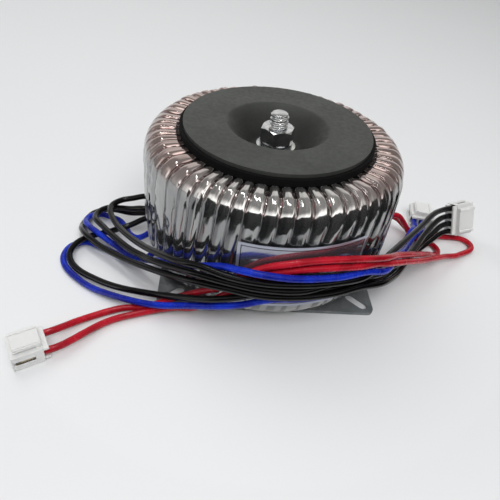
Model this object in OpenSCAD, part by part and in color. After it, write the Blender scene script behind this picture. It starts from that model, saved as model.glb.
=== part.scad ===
// Toroidal mains transformer, clamped between a slotted base plate and a dished top plate by
// one centre bolt, with eight flexible leads that end in three crimp-terminal housings.
// Millimetres. The origin is on the bolt's axis, on the surface that the base plate stands on.
// +Z is up along the bolt, X and Y run along the sides of the base plate, -Y is the label side.

/* [Core and windings] */
// Inner radius of the strip-wound steel core
core_inner_r = 30.8; // [28:0.1:33]
// Radial width of the core strip stack
core_width = 19; // [12:0.5:22]
// Height of the core
core_h = 38.4; // [30:0.2:44]
// Wrap of crepe tape on the core
core_wrap_t = 0.8; // [0.4:0.1:1.2]
// Primary winding build on the outside of the ring
primary_out_t = 1.6; // [0.8:0.1:2.4]
// Primary winding build in the hole and on the faces, where the turns crowd
primary_in_t = 2.4; // [1.2:0.1:3]
// Polyester film over the primary winding
primary_film_t = 0.4; // [0.2:0.1:0.8]
// Secondary winding build on the outside of the ring
secondary_out_t = 1.4; // [0.8:0.1:2]
// Secondary winding build in the hole and on the faces
secondary_in_t = 2; // [1:0.1:2.6]
// Polyester film over the secondary winding
secondary_film_t = 0.3; // [0.2:0.1:0.6]
// Auxiliary winding build, one layer all round
auxiliary_t = 0.6; // [0.4:0.1:1]
// Running gap that is left between one layer and the next
layer_gap = 0.1; // [0.05:0.05:0.2]

/* [Outer film] */
// Least thickness of the outer film, in a crease
film_t = 0.5; // [0.4:0.1:1]
// Film thickness under the two gaskets, where the folds are pressed flat
film_clamped_t = 1.1; // [0.8:0.1:1.6]
// Folds of film round the ring
pleat_count = 56; // [40:1:70]
// How far a fold stands out of its creases on the side wall
pleat_side = 1; // [0.4:0.1:1.4]
// How far a fold stands out of its creases beside a gasket
pleat_face = 1.8; // [0.8:0.1:2.2]
// How far the folds swell past the clamped faces, beside each gasket
film_swell = 1.5; // [0.8:0.1:2]
// Lean of the folds from the vertical over the height of the side wall
pleat_lean = 3; // [0:0.5:5]
// Largest shift of a crease from an even spacing, as a share of one fold
pleat_uneven = 0.22; // [0:0.02:0.3]

/* [Clamping plates and gaskets] */
// Side of the square base plate
base_side = 94.6; // [90:0.2:104]
// Sheet thickness of the base plate
base_t = 1.5; // [1:0.1:2.5]
// Corner radius of the base plate
base_corner_r = 3; // [1:0.5:6]
// Distance from the bolt's axis to the middle of each corner slot
slot_radius = 57.2; // [55:0.1:58]
// Width of each corner slot
slot_w = 4.5; // [3.5:0.1:5.5]
// End-to-end length of each corner slot
slot_l = 11; // [7:0.5:12]
// Radius of the flat top of the boss that hides the bolt head
boss_r = 11.6; // [10:0.2:14]
// How far the boss flares out on its way down to the plate
boss_flare = 4.8; // [3:0.2:7]
// Outer radius of both gaskets
gasket_r = 41.5; // [38:0.5:44]
// Radius of the hole in both gaskets
gasket_hole_r = 24.5; // [24:0.1:28]
// Thickness of each gasket
gasket_t = 3; // [1.5:0.1:4]
// Outer radius of the dished top plate
top_r = 40; // [36:0.5:43]
// Sheet thickness of the top plate
top_t = 1.5; // [1:0.1:2]
// Radius at which the top plate turns down into its dish
dish_r = 22; // [19:0.5:22.5]
// Radius of the flat floor of the dish
dish_floor_r = 10.5; // [9:0.5:13]
// Depth of the dish
dish_depth = 10.8; // [6:0.1:12]

/* [Bolt, nut and washers] */
// Thread diameter of the centre bolt
bolt_d = 8; // [6:1:8]
// Length of thread that stands above the nut
bolt_proud = 6.1; // [3:0.1:12]
// Width across flats of the bolt head and the nut
hex_flats = 13; // [11:0.5:14]
// Height of the bolt head
head_h = 5.3; // [4:0.1:6]
// Height of the nut
nut_h = 6.3; // [5:0.1:8]
// Outer diameter of the flat washer
washer_d = 17; // [15:0.5:20]
// Thickness of the flat washer
washer_t = 1.6; // [1:0.1:2]
// Outer diameter of the spring washer
spring_d = 14.2; // [13:0.1:15]
// Thickness of the spring washer
spring_t = 1.8; // [1.4:0.1:2.2]
// Gap between the cut ends of the spring washer
spring_cut = 1; // [0.5:0.1:2]
// Radial clearance of the holes round the bolt
bolt_clear = 0.3; // [0.2:0.1:0.5]

/* [Label] */
// Length of the label round the ring
label_l = 52; // [20:1:80]
// Height of the label
label_h = 30; // [15:1:34]
// Height of the label's top edge above the floor
label_top = 44; // [40:1:48]
// Angle of the label's middle, seen from above
label_angle = -80.5; // [-100:0.5:-60]
// Thickness of the label and its adhesive
label_t = 0.2; // [0.1:0.05:0.3]

/* [Leads and connectors] */
// Outer diameter of each lead
lead_d = 2.8; // [2:0.1:3]
// Radial clearance of the holes in the outer film round the leads
lead_clear = 0.2; // [0.1:0.1:0.4]
// Spacing of the ways of a connector housing
pitch = 4.2; // [4:0.1:5]
// Width that a housing adds to the span of its ways
housing_side = 3.9; // [3.6:0.1:5]
// Length of a housing from its wire end to its mating end
housing_l = 13; // [11:0.5:17]
// Height of the body of a housing
housing_h = 6.8; // [6:0.1:8]
// Side of the square cavity that holds each terminal
cavity = 3.4; // [3:0.1:3.6]
// Thickness of the latch plate on top of a housing
latch_t = 1.4; // [1:0.1:2]
// Gap under the latch plate, in front of its root
latch_gap = 0.6; // [0.4:0.1:1]

/* [Hidden] */
$fn = 64;

// Levels of the stack, from the floor up
body_z0 = base_t + gasket_t;
core_r = core_inner_r + core_width;
core_edge = 1.5;
// Build of each layer over the core: on the outside of the ring, then in its hole and on its faces
layers = [
  [core_wrap_t, core_wrap_t],
  [primary_out_t, primary_in_t],
  [primary_film_t, primary_film_t],
  [secondary_out_t, secondary_in_t],
  [secondary_film_t, secondary_film_t],
  [auxiliary_t, auxiliary_t]
];
// Build from the core out to the outer surface of layer n, 0 being the core itself
function build_out(n) = n == 0 ? 0 : build_out(n - 1) + layer_gap + layers[n - 1][0];
function build_in(n) = n == 0 ? 0 : build_in(n - 1) + layer_gap + layers[n - 1][1];
wound_out = build_out(len(layers)) + layer_gap;
wound_in = build_in(len(layers)) + layer_gap;
wound_r = core_r + wound_out;
body_half = core_h / 2 + wound_in + film_clamped_t;
mid_z = body_z0 + body_half;
body_z1 = mid_z + body_half;

// Crest envelope of the outer film
film_r = wound_r + film_t + pleat_side;
film_hole_r = core_inner_r - wound_in - film_t;
crest_half = body_half + film_swell;
film_corner_r = 8.8;
film_hole_edge = 2.4;

// Bolt stack
boss_h = head_h + 0.2;
boss_z = boss_h + base_t;
top_z0 = body_z1 + gasket_t;
top_z1 = top_z0 + top_t;
floor_z = top_z1 - dish_depth;
washer_z1 = floor_z + washer_t;
spring_z1 = washer_z1 + spring_t;
nut_z1 = spring_z1 + nut_h;
bolt_z1 = nut_z1 + bolt_proud;
bolt_r = bolt_d / 2;
shank_r = bolt_r * 0.9;
thread_z0 = nut_z1 + 0.3;
hex_r = hex_flats / 2 / cos(30);

// ---- Plates, gaskets and hardware ----

module slot_2d(length, width) {
  square([length - width, width], center = true);
  for (side = [-1, 1])
    translate([side * (length - width) / 2, 0])
      circle(d = width);
}

module rounded_box_2d(x0, x1, y0, y1, r) {
  translate([x0 + r, y0]) square([x1 - x0 - 2 * r, y1 - y0]);
  translate([x0, y0 + r]) square([x1 - x0, y1 - y0 - 2 * r]);
  for (x = [x0 + r, x1 - r], y = [y0 + r, y1 - r])
    translate([x, y]) circle(r = r);
}

// The boss is pressed up from the sheet, so the bolt head hides in it and the plate lies flat.
module base_plate() {
  half = base_side / 2;
  foot_r = boss_r + boss_flare;
  wall = base_t * 0.8;
  color("#6d706f") {
    linear_extrude(base_t)
      difference() {
        rounded_box_2d(-half, half, -half, half, base_corner_r);
        circle(r = foot_r + wall);
        for (turn = [45:90:315])
          rotate(turn) translate([slot_radius, 0]) slot_2d(slot_l, slot_w);
      }
    rotate_extrude()
      polygon([
        [bolt_r + bolt_clear, boss_h], [bolt_r + bolt_clear, boss_z], [boss_r, boss_z],
        [foot_r, base_t], [foot_r + 2 * wall, base_t], [foot_r + 2 * wall, 0],
        [foot_r - wall, 0], [boss_r - wall, boss_h]
      ]);
  }
}

module gasket(z) {
  color("#161616")
    translate([0, 0, z])
      linear_extrude(gasket_t)
        difference() {
          circle(r = gasket_r);
          circle(r = gasket_hole_r);
        }
}

module bottom_gasket() {
  gasket(base_t);
}

module top_gasket() {
  gasket(body_z1);
}

// Points of an arc from angle a0 to a1
function arc(centre, r, a0, a1, steps) = [
  for (i = [0:steps])
    let (a = a0 + (a1 - a0) * i / steps) [centre[0] + r * cos(a), centre[1] + r * sin(a)]
];

// Radii of the press tool where the dish leaves the flat of the plate and where it meets its floor
lip_r = 2;
foot_r = 3;
dish_slope = atan2(dish_depth, dish_r - dish_floor_r);

// Upper face of the pressed sheet: flat, lip, cone and floor, at offset t below the face
function dish_face(t) = let (
  lip = [dish_r + lip_r * tan(dish_slope / 2), top_z1 - lip_r],
  heel = [dish_floor_r - foot_r * tan(dish_slope / 2), floor_z + foot_r]
) concat(
  [[top_r, top_z1 - t]],
  arc(lip, lip_r - t, 90, 90 + dish_slope, 4),
  arc(heel, foot_r + t, dish_slope - 90, -90, 4),
  [[bolt_r + bolt_clear, floor_z - t]]
);

function reversed(list) = [for (i = [len(list) - 1:-1:0]) list[i]];

module top_plate() {
  color("#3b3c3b")
    rotate_extrude()
      polygon(concat(dish_face(0), reversed(dish_face(top_t))));
}

// Hexagon with its outer corners turned off at the faces that are named
module hex_body(height, top = true, bottom = false) {
  relief = (hex_r - hex_flats / 2) * tan(30);
  intersection() {
    cylinder(h = height, r = hex_r, $fn = 6);
    rotate_extrude()
      polygon([
        [0, 0], [bottom ? hex_flats / 2 : hex_r, 0], [hex_r, bottom ? relief : 0],
        [hex_r, top ? height - relief : height], [top ? hex_flats / 2 : hex_r, height],
        [0, height]
      ]);
  }
}

// Below the nut's upper face the shank has the thread's pitch radius, which the nut is bored to.
module centre_bolt() {
  chamfer = bolt_d / 10;
  color("#c9cacb") {
    mirror([0, 0, 1])
      translate([0, 0, -boss_h])
        hex_body(head_h);
    translate([0, 0, boss_h - 0.5])
      cylinder(h = thread_z0 - boss_h + 0.5, r = shank_r);
    translate([0, 0, thread_z0])
      cylinder(h = bolt_z1 - chamfer - thread_z0, r = bolt_r);
    translate([0, 0, bolt_z1 - chamfer])
      cylinder(h = chamfer, r1 = bolt_r, r2 = bolt_r - chamfer);
  }
}

module flat_washer() {
  color("#d5d6d7")
    translate([0, 0, floor_z])
      difference() {
        cylinder(h = washer_t, d = washer_d);
        translate([0, 0, -1]) cylinder(h = washer_t + 2, r = bolt_r + bolt_clear);
      }
}

module spring_washer() {
  color("#bfc1c3")
    translate([0, 0, washer_z1])
      difference() {
        cylinder(h = spring_t, d = spring_d);
        translate([0, 0, -1]) cylinder(h = spring_t + 2, r = bolt_r + bolt_clear / 2);
        rotate(200)
          translate([bolt_r - 1, 0, spring_t / 2])
            rotate([25, 0, 0])
              translate([0, -spring_cut / 2, -2 * spring_t])
                cube([spring_d, spring_cut, 4 * spring_t]);
      }
}

module hex_nut() {
  color("#c9cacb")
    translate([0, 0, spring_z1])
      difference() {
        rotate(12) hex_body(nut_h, bottom = true);
        translate([0, 0, -1]) cylinder(h = nut_h + 2, r = shank_r + 0.05);
      }
}

// ---- Core and windings: rings that close round one another ----

// Ring whose section has grown from the core's by out on the outside and by in elsewhere
module ring_2d(out, in) {
  half = core_h / 2 + in;
  rounded_box_2d(core_inner_r - in, core_r + out, mid_z - half, mid_z + half, core_edge + out);
}

module ring(out, in) {
  rotate_extrude() ring_2d(out, in);
}

module layer(n) {
  difference() {
    ring(build_out(n), build_in(n));
    ring(build_out(n - 1) + layer_gap, build_in(n - 1) + layer_gap);
  }
}

module core() {
  color("#77787a") ring(0, 0);
}

module core_insulation() {
  color("#e8e2cf") layer(1);
}

module primary_winding() {
  color("#a4502c") layer(2);
}

module primary_film() {
  color("#d9c46a") layer(3);
}

module secondary_winding() {
  color("#b25a33") layer(4);
}

module secondary_film() {
  color("#d9c46a") layer(5);
}

module auxiliary_winding() {
  color("#b9653d") layer(6);
}

// ---- Outer film: one wrap of polyester whose folds fan out round the ring ----

// Even spread of numbers from -1 to 1, the same on every build
shift = rands(-1, 1, pleat_count, 11);
stand = rands(0.72, 1, pleat_count, 5);

function crease_angle(k) = 360 / pleat_count * (k + pleat_uneven * shift[k % pleat_count]);
// Height of a fold above its creases at its three stations, as a share of its full height
fold_rise = [0, 0.9, 0.95];

// Section of the crest envelope, as [r, z, outward r, outward z, fold height] from the hole's lower
// edge round the outside to its upper edge, for the half on one side of the middle
function half_section(side) = let (
  crest_z = mid_z + side * crest_half,
  clamp_z = mid_z + side * body_half,
  corner = [film_r - film_corner_r, crest_z - side * film_corner_r]
) [
  [film_hole_r, clamp_z - side * film_hole_edge, -1, 0, 0],
  [film_hole_r + film_hole_edge, clamp_z, 0, side, 0],
  [gasket_r + 0.4, clamp_z, 0, side, 0],
  [gasket_r + 2.2, crest_z - side * 0.3, -0.3, side, pleat_face],
  for (a = [90:-30:0])
    [corner[0] + film_corner_r * cos(a), corner[1] + side * film_corner_r * sin(a),
     cos(a), side * sin(a), pleat_side + (pleat_face - pleat_side) * sin(a)]
];

film_section = concat(
  half_section(-1),
  [[film_r, mid_z, 1, 0, pleat_side]],
  reversed(half_section(1))
);

function film_point(k, station, p) = let (
  share = station / len(fold_rise),
  lean = pleat_lean * max(-1, min(1, (p[1] - mid_z) / body_half)),
  a = crease_angle(k) * (1 - share) + (crease_angle(k + 1)) * share + lean,
  sunk = p[4] * (1 - fold_rise[station] * stand[k]),
  r = p[0] - p[2] * sunk
) [r * cos(a), r * sin(a), p[1] - p[3] * sunk];

module folded_ring() {
  columns = pleat_count * len(fold_rise);
  rows = len(film_section);
  points = [
    for (k = [0:pleat_count - 1], station = [0:len(fold_rise) - 1], p = film_section)
      film_point(k, station, p)
  ];
  function at(i, j) = (i % columns) * rows + j % rows;
  polyhedron(points, [
    for (i = [0:columns - 1], j = [0:rows - 1], half = [0, 1])
      half == 0
        ? [at(i, j), at(i, j + 1), at(i + 1, j + 1)]
        : [at(i, j), at(i + 1, j + 1), at(i + 1, j)]
  ]);
}

// Lead routes: an exit is [angle, height, tilt] and the free points are placed by hand, either
// freely or round the ring with round_at(radius, angle, height).
function round_at(r, a, z) = [r * cos(a), r * sin(a), z];

red_lead_1_exit = [7, 17, 0];
red_lead_1_points = [
  [65.5, 8.5, 15.5], [70.5, 9.8, 14], [75.4, 10.2, 8.7], [79, 8.9, 4.1], [82.2, 7.6, 2],
  [84.7, 6.6, 1.6], [87.3, 5.6, 1.5], [90, 4.2, 1.5], [91.6, 1.8, 1.5], [91.9, -1.3, 1.6],
  [90.7, -4.1, 1.9], [88.6, -6, 2.6], [85.3, -8.8, 4.6], [79, -15, 10], [63.5, -29, 21],
  [53, -37.5, 27.2], [45.5, -45, 32], round_at(63, 308, 35), round_at(61.5, 297, 38.5),
  round_at(59.4, 284, 39.3), round_at(59.2, 274, 38.3), round_at(59.2, 264, 35.2),
  round_at(59.2, 256, 28.8), round_at(59.2, 249, 21), round_at(59.3, 240, 13.8), [-39, -48, 6.4],
  [-50.6, -49.4, 1.9], [-62, -51.2, 1.6], [-75, -57.6, 1.6]
];

red_lead_2_exit = [13, 15, 0];
red_lead_2_points = [
  [64, 14.8, 13.5], [68.5, 15.5, 10.5], [74, 15.6, 7.5], [78.8, 13.8, 3.8], [83.6, 11.6, 1.7],
  [90, 10.6, 1.6], [96, 11, 1.5], [100.5, 10.9, 1.5], [104.2, 10.9, 1.5], [107.2, 10.6, 1.5],
  [109.8, 9.6, 1.5], [111.7, 7.6, 1.5], [112.4, 4.9, 1.5], [111.6, 2, 1.5], [109.4, -0.2, 1.6],
  [106.5, -2, 1.8], [103.5, -3.8, 2.2], [98.5, -7, 3.4], [90, -11.5, 6.2], [74, -23.5, 13.4],
  [58.5, -35.5, 22], [46.5, -44.5, 28.3], round_at(62.8, 311, 30.4), round_at(62.5, 300, 34.4),
  round_at(60.5, 288, 35.8), round_at(59.2, 276, 35), round_at(59.2, 264, 31.2),
  round_at(59.3, 256, 23.2), round_at(59.4, 248, 14.5), round_at(61, 239.5, 6),
  [-40.5, -51.2, 3.6], [-53.2, -53.2, 1.8], [-66, -58.8, 1.6]
];

black_lead_1_exit = [168, 14.5, 0];
black_lead_1_points = [
  [-65, 12.5, 12.8], [-70.5, 11, 12.2], [-74, 6.5, 12.3], [-74, 1.5, 12.3], [-72, -4, 12.5],
  [-66.5, -14, 14], [-54.5, -31, 19.5], [-40, -48.5, 28], round_at(62.6, 242, 31.2),
  round_at(62.5, 253, 30.8), round_at(62.3, 265, 30.5), round_at(62.3, 278, 30.2),
  round_at(62.3, 291, 28.9), round_at(62.4, 304, 26.3), round_at(61, 316, 24.5), [52.5, -31.5, 23],
  [62.5, -20, 21], [75, -6, 19], [86, 6.5, 18.5]
];

black_lead_2_exit = [176, 12.9, 0];
black_lead_2_points = [
  [-65, 6, 11], [-70.5, 8.6, 9.2], [-75.5, 9.2, 8.8], [-79.3, 7.3, 8.5], [-81, 4, 8.5],
  [-81.2, 0.6, 8.8], [-79.6, -3, 9.5], [-76, -7.8, 10.2], [-71.5, -14, 11.2], [-61.5, -26, 13.5],
  [-54, -33.8, 16], [-47.3, -41.6, 20], round_at(62.6, 238, 26), round_at(62.3, 253, 27.6),
  round_at(62.3, 265, 27.3), round_at(62.3, 278, 27), round_at(60, 291, 25.8),
  round_at(59.3, 303, 23.9), [43.5, -42.8, 20.8], [56, -32, 16.2], [64, -24.7, 14],
  [71.5, -15, 13.2], [80.5, -3, 13], [88, 5.5, 13.5]
];

black_lead_3_exit = [171, 12.9, -30];
black_lead_3_points = [
  [-61.5, 10, 5.8], [-66.5, 11, 4.8], [-73.5, 12, 5.3], [-79.5, 13.5, 4], [-85.3, 12.2, 2.2],
  [-87.5, 7.5, 1.8], [-88.2, 1, 2.7], [-85.9, -6.7, 6.3], [-81.1, -14, 7.9], [-74, -19.7, 7.2],
  [-61.8, -30, 10], [-46.8, -43.8, 17], round_at(63, 239, 22.2), round_at(62.4, 253, 24.4),
  round_at(62.3, 265, 24), round_at(62.3, 278, 23.8), round_at(62.3, 291, 23),
  round_at(62.5, 304, 21.2), [46.5, -45.5, 18], [56.5, -35, 13.2], [66, -22.5, 10.5], [77, -8, 9],
  [87, 2, 9.3]
];

black_lead_4_exit = [178, 12.9, -25];
black_lead_4_points = [
  [-65, 0, 5.5], [-73, -4.2, 4.7], [-82.6, -9.3, 4.5], [-87.5, -15, 4.3], [-88.5, -22, 3.4],
  [-84, -29, 2.5], [-74, -36, 3], [-62.5, -42, 4.5], [-46, -47.2, 6.8], round_at(62.8, 238, 12),
  round_at(62.7, 248, 17), round_at(61.8, 256, 20.5), round_at(59.3, 266, 22.5),
  round_at(59.2, 278, 22.8), round_at(59.2, 291, 22.5), round_at(59.5, 304, 20.6), [45, -43, 17],
  [55.5, -31.5, 10.7], [66, -20.5, 7.3], [76, -9, 5.6], [86, 0, 5.6]
];

blue_lead_1_exit = [187, 12.9, -40];
blue_lead_1_points = [
  [-61, -6, 2.8], [-65, -2, 1.7], [-68, 3.5, 1.6], [-71.5, 8.3, 1.6], [-76.5, 10.3, 2.2],
  [-81, 10, 3.5], [-84.9, 6.8, 4.7], [-86.3, 2, 5.3], [-84, -3.1, 6.5], [-79.5, -8.5, 7.5],
  [-69, -17.5, 7.2], [-61.3, -25.5, 8.4], [-53.2, -31.8, 12], [-47.5, -37, 16.5],
  round_at(59.2, 226, 21), round_at(59.2, 233, 24.3), round_at(59.2, 241, 28.3),
  round_at(59.3, 249, 31.8), round_at(61.5, 256, 34.3), round_at(62.5, 264, 34.8),
  round_at(62.3, 276, 33.5), round_at(62.3, 291, 31.8), round_at(62.6, 304, 29.6),
  [47, -44.5, 24.7], [57, -28.5, 19], [67, -15, 12.4], [75.5, -2.8, 9.8], [83.5, 6, 8],
  [87, 11, 5.2]
];

blue_lead_2_exit = [201, 12.9, -45];
blue_lead_2_points = [
  [-58.5, -21.5, 2], [-66, -18.5, 1.5], [-76, -13, 1.5], [-84, -9.8, 1.5], [-89.8, -12.8, 1.5],
  [-91.8, -19, 1.5], [-90.3, -25.3, 1.5], [-85.3, -31.8, 1.5], [-75.2, -39.8, 1.7],
  [-61, -47.2, 3.8], [-47, -52.2, 6], round_at(64, 238, 8.6), round_at(62.7, 249, 13.6),
  round_at(61.2, 258, 16.5), round_at(59.3, 268, 19.3), round_at(59.2, 280, 19.6),
  round_at(59.2, 292, 19.3), round_at(59.2, 305, 17.2), round_at(59.5, 318, 13.9), [55, -27, 12.3],
  [66, -13, 9.2], [73.5, -0.5, 7.5], [78.3, 6.2, 8.4], [81.7, 11.3, 6.3]
];

// A point of an exit's axis, which starts on the outermost winding
wound_corner = core_edge + wound_out;
function on_exit(e, along) = let (out = wound_corner + along, r = wound_r - wound_corner)
  round_at(r + out * cos(e[2]), e[0], e[1] + out * sin(e[2]));

exits = [
  red_lead_1_exit, red_lead_2_exit, black_lead_1_exit, black_lead_2_exit, black_lead_3_exit,
  black_lead_4_exit, blue_lead_1_exit, blue_lead_2_exit
];

module outer_film() {
  color("#c9c3bf")
    difference() {
      folded_ring();
      rotate_extrude($fn = 96) ring_2d(wound_out, wound_in, $fn = 24);
      for (e = exits)
        translate(on_exit(e, -1))
          rotate([0, 90 - e[2], e[0]])
            cylinder(h = 6, r = lead_d / 2 + lead_clear, $fn = 16);
    }
}

module label() {
  inner = film_r + 0.05;
  span = label_l / film_r * 180 / PI;
  color("#d9dadc")
    rotate(label_angle - span / 2)
      rotate_extrude(angle = span)
        translate([inner, label_top - label_h])
          square([label_t, label_h]);
}

// ---- Connectors: a housing and its crimp terminals, drawn in the housing's own frame ----
// The frame's origin is on the floor of the wire end, +X runs to the mating end, +Y across the
// ways and +Z to the latch.

// Housings as [ways, position of the wire end, heading, roll]
red_seat = [3, [-85, -70.5, 0], 209, 0];
black_seat = [4, [98, 15, 10.5], 22, 66];
blue_seat = [3, [89.5, 20, 0], 78, 0];
barrel_x = 3;
box_x = 6.6;
way_z = housing_h / 2;

function way_y(ways, way) = (way - (ways - 1) / 2) * pitch;

module seated(seat) {
  translate(seat[1])
    rotate([0, 0, seat[2]])
      rotate([seat[3], 0, 0])
        children();
}

module housing(seat) {
  ways = seat[0];
  width = pitch * (ways - 1) + housing_side;
  step_l = 2;
  latch_l = housing_l - step_l - 1.2;
  latch_w = width - 3.2;
  latch_z = housing_h + latch_gap;
  color("#e9e9e4")
    seated(seat) {
      difference() {
        union() {
          translate([step_l, -width / 2, 0]) cube([housing_l - step_l, width, housing_h]);
          translate([0, -width / 2 + 0.5, 0.4]) cube([step_l, width - 1, housing_h - 1]);
          // Latch: its root stands on the body, and its plate runs clear of it to the mating end
          translate([step_l, -latch_w / 2, housing_h]) cube([2, latch_w, latch_gap]);
          translate([step_l, -latch_w / 2, latch_z]) cube([latch_l, latch_w, latch_t]);
          for (side = [-1, 1])
            translate([step_l, side * (latch_w / 2 - 1) - 0.5, latch_z + latch_t])
              cube([latch_l, 1, 0.5]);
        }
        for (way = [0:ways - 1])
          translate([-1, way_y(ways, way) - cavity / 2, way_z - cavity / 2])
            cube([housing_l + 2, cavity, cavity]);
        for (side = [-1, 1])
          translate([housing_l / 2 + 3, side * width / 2, way_z])
            cube([housing_l - 4, 0.8, 1.6], center = true);
      }
    }
}

module terminals(seat, used) {
  wall = 0.4;
  color("#c8b98a")
    seated(seat)
      for (way = used)
        translate([0, way_y(seat[0], way), way_z]) {
          difference() {
            translate([barrel_x, -1.3, -1.3]) cube([box_x - barrel_x, 2.6, 2.6]);
            translate([barrel_x + wall, -0.9, -0.9]) cube([box_x - barrel_x, 1.8, 3]);
          }
          difference() {
            translate([box_x, -1.4, -cavity / 2]) cube([5.2, 2.8, cavity]);
            translate([box_x + wall, -1, -0.9]) cube([6, 2, 1.8]);
          }
        }
}

module red_housing() {
  housing(red_seat);
}

module black_housing() {
  housing(black_seat);
}

module blue_housing() {
  housing(blue_seat);
}

module red_terminals() {
  terminals(red_seat, [0, 2]);
}

module black_terminals() {
  terminals(black_seat, [0, 1, 2, 3]);
}

module blue_terminals() {
  terminals(blue_seat, [1, 2]);
}

// ---- Leads: round tubes along smooth routes ----

function unit(v) = v / norm(v);

// A point of a seat's frame, at distance x along one of its ways
function in_seat(seat, way, x) = let (
  y = way_y(seat[0], way),
  c = cos(seat[3]), s = sin(seat[3]),
  rolled = [x, y * c - way_z * s, y * s + way_z * c],
  turn = seat[2]
) seat[1] + [
  rolled[0] * cos(turn) - rolled[1] * sin(turn),
  rolled[0] * sin(turn) + rolled[1] * cos(turn),
  rolled[2]
];

// From an exit of the ring, through the free points, into one way of a seat
function route(e, free, seat, way) = concat(
  [on_exit(e, 0), on_exit(e, 4.5)],
  free,
  [in_seat(seat, way, barrel_x - 8), in_seat(seat, way, barrel_x)]
);

// Smooth line through the points of a route
function smooth(p, steps) = let (
  n = len(p),
  q = concat([2 * p[0] - p[1]], p, [2 * p[n - 1] - p[n - 2]])
) [
  for (i = [1:n - 1], k = [0:steps - 1])
    let (t = k / steps, a = q[i - 1], b = q[i], c = q[i + 1], d = q[i + 2])
      (2 * b + (c - a) * t + (2 * a - 5 * b + 4 * c - d) * t * t
        + (3 * b - a - 3 * c + d) * t * t * t) / 2,
  p[n - 1]
];

module tube(line, r) {
  n = len(line);
  sides = 8;
  along = [for (i = [0:n - 1]) unit(line[min(i + 1, n - 1)] - line[max(i - 1, 0)])];
  // Each ring's first spoke is the one before it, made square to the line again
  spokes = [
    for (
      i = 0, s = unit(cross(along[0], [0, 0, 1]));
      i < n;
      i = i + 1, s = i < n ? unit(s - (s * along[i]) * along[i]) : s
    ) s
  ];
  polyhedron(
    [
      for (i = [0:n - 1], k = [0:sides - 1])
        line[i] + r * (cos(360 * k / sides) * spokes[i]
          + sin(360 * k / sides) * cross(along[i], spokes[i]))
    ],
    concat(
      [[for (k = [sides - 1:-1:0]) k], [for (k = [0:sides - 1]) (n - 1) * sides + k]],
      [
        for (i = [0:n - 2], k = [0:sides - 1])
          let (a = i * sides + k, b = i * sides + (k + 1) % sides)
            [a, b, b + sides, a + sides]
      ]
    )
  );
}

module lead(colour, points) {
  color(colour) tube(smooth(points, 2), lead_d / 2);
}

module red_lead_1() {
  lead("#c4202e", route(red_lead_1_exit, red_lead_1_points, red_seat, 0));
}

module red_lead_2() {
  lead("#c4202e", route(red_lead_2_exit, red_lead_2_points, red_seat, 2));
}

module black_lead_1() {
  lead("#1c1c1d", route(black_lead_1_exit, black_lead_1_points, black_seat, 3));
}

module black_lead_2() {
  lead("#1c1c1d", route(black_lead_2_exit, black_lead_2_points, black_seat, 2));
}

module black_lead_3() {
  lead("#1c1c1d", route(black_lead_3_exit, black_lead_3_points, black_seat, 1));
}

module black_lead_4() {
  lead("#1c1c1d", route(black_lead_4_exit, black_lead_4_points, black_seat, 0));
}

module blue_lead_1() {
  lead("#1a2fae", route(blue_lead_1_exit, blue_lead_1_points, blue_seat, 1));
}

module blue_lead_2() {
  lead("#1a2fae", route(blue_lead_2_exit, blue_lead_2_points, blue_seat, 2));
}

base_plate();
bottom_gasket();
core();
core_insulation();
primary_winding();
primary_film();
secondary_winding();
secondary_film();
auxiliary_winding();
outer_film();
label();
top_gasket();
top_plate();
centre_bolt();
flat_washer();
spring_washer();
hex_nut();
red_lead_1();
red_lead_2();
black_lead_1();
black_lead_2();
black_lead_3();
black_lead_4();
blue_lead_1();
blue_lead_2();
red_housing();
black_housing();
blue_housing();
red_terminals();
black_terminals();
blue_terminals();
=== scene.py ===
# Toroidal mains transformer: clear film over copper, clamped between two steel plates, with flexible leads.
# Metres, apart from the sizes that are multiplied by mm. The CAD frame is loaded first, and every piece
# is placed in it.
import math

import bmesh
import bpy
from mathutils import Matrix, Vector, noise


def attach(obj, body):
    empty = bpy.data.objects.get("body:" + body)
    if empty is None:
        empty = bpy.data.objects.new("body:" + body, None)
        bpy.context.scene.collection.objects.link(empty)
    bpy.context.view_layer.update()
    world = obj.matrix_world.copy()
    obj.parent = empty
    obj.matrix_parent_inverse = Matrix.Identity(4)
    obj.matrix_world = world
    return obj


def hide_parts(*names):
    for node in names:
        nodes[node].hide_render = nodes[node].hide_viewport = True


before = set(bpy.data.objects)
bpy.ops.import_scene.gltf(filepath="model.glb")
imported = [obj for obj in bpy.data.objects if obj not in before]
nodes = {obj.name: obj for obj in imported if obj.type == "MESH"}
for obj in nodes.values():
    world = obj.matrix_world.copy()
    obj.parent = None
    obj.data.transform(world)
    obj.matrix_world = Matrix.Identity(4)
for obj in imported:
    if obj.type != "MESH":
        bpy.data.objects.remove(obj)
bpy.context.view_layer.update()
mm = 0.001
print("frame loaded,", len(nodes), "nodes")


cameraSet = {"lens": 34.59, "place": (-0.0274, -0.18784, 0.15227), "yaw": 0.118, "down": 0.696,
             "roll": 0.131, "shiftY": -0.001}


def makeCamera(c):
    forward = Vector((math.sin(c["yaw"]) * math.cos(c["down"]),
                      math.cos(c["yaw"]) * math.cos(c["down"]), -math.sin(c["down"])))
    level = Vector((math.cos(c["yaw"]), -math.sin(c["yaw"]), 0))
    up = level.cross(forward)
    side = level * math.cos(c["roll"]) + up * math.sin(c["roll"])
    top = up * math.cos(c["roll"]) - level * math.sin(c["roll"])
    data = bpy.data.cameras.new("camera")
    data.lens, data.sensor_width = c["lens"], 36
    data.shift_y, data.clip_start = c["shiftY"], 0.01
    camera = bpy.data.objects.new("camera", data)
    bpy.context.scene.collection.objects.link(camera)
    turn = Matrix((side, top, -forward)).transposed()
    camera.matrix_world = Matrix.Translation(c["place"]) @ turn.to_4x4()
    bpy.context.scene.camera = camera


makeCamera(cameraSet)


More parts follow.
